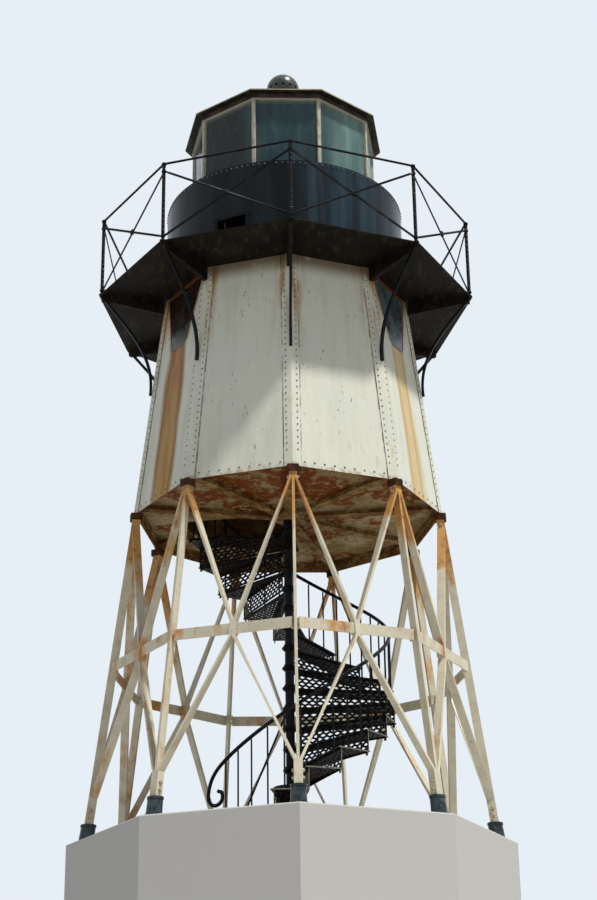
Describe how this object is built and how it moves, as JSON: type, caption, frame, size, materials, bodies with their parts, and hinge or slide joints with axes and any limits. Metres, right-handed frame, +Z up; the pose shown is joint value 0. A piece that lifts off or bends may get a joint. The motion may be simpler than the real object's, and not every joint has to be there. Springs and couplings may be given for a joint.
{
  "type": "skeleton lighthouse",
  "caption": "Small nine-sided iron lighthouse: braced skeleton legs, spiral stair, riveted watch room, railed gallery, drum and glazed lantern under a low roof.",
  "frame": {"origin": "centre of the stair pedestal's underside, on the ground, on the tower's axis", "axes": "+Z up along the tower's axis; one corner of the nine-sided tower faces -Y, and the stair starts there"},
  "size_m": [3.8048, 3.7494, 8.23],
  "materials": {
    "socket_iron": "glossy",
    "skeleton_paint": "semi-gloss, rust stained",
    "rusty_iron": "rough rust",
    "underside_paint": "matt, rust flaked",
    "wall_paint": "satin, rust streaked",
    "deck_iron": "matt",
    "black_paint": "gloss",
    "lantern_paint": "satin",
    "lantern_glass": "clear, dusty",
    "window_glass": "glossy, dark behind",
    "roof_paint": "satin",
    "vent_paint": "satin",
    "stair_iron": "gloss black paint"
  },
  "bodies": {
    "root": {"leg_sockets": "socket_iron", "leg_bars": "skeleton_paint", "lower_brace_bars": "skeleton_paint", "upper_brace_bars": "skeleton_paint", "ring_band_bars": "skeleton_paint", "corner_shoes": "rusty_iron", "floor_plates": "underside_paint", "floor_beams": "underside_paint", "floor_hub": "underside_paint", "floor_rim_bars": "underside_paint", "plain_walls": "wall_paint", "window_walls": "wall_paint", "window_panes": "window_glass", "corner_straps": "wall_paint", "gallery_deck": "deck_iron", "lantern_floor": "deck_iron", "deck_beams": "deck_iron", "deck_brackets": "black_paint", "rail_posts": "black_paint", "top_rails": "black_paint", "outer_rail_braces": "black_paint", "inner_rail_braces": "black_paint", "drum_plates": "black_paint", "doorway_plate": "black_paint", "door_frame": "black_paint", "drum_ledge": "black_paint", "lantern_curb": "lantern_paint", "lantern_mullions": "lantern_paint", "lantern_panes": "lantern_glass", "lantern_head": "lantern_paint", "eave": "roof_paint", "roof": "roof_paint", "vent_neck": "roof_paint", "vent_ball": "vent_paint", "stair_pedestal": "stair_iron", "stair_column": "stair_iron", "stair_treads": "stair_iron", "stair_handrail": "stair_iron", "stair_balusters": "stair_iron", "column_stay": "stair_iron"}
  },
  "joints": []
}
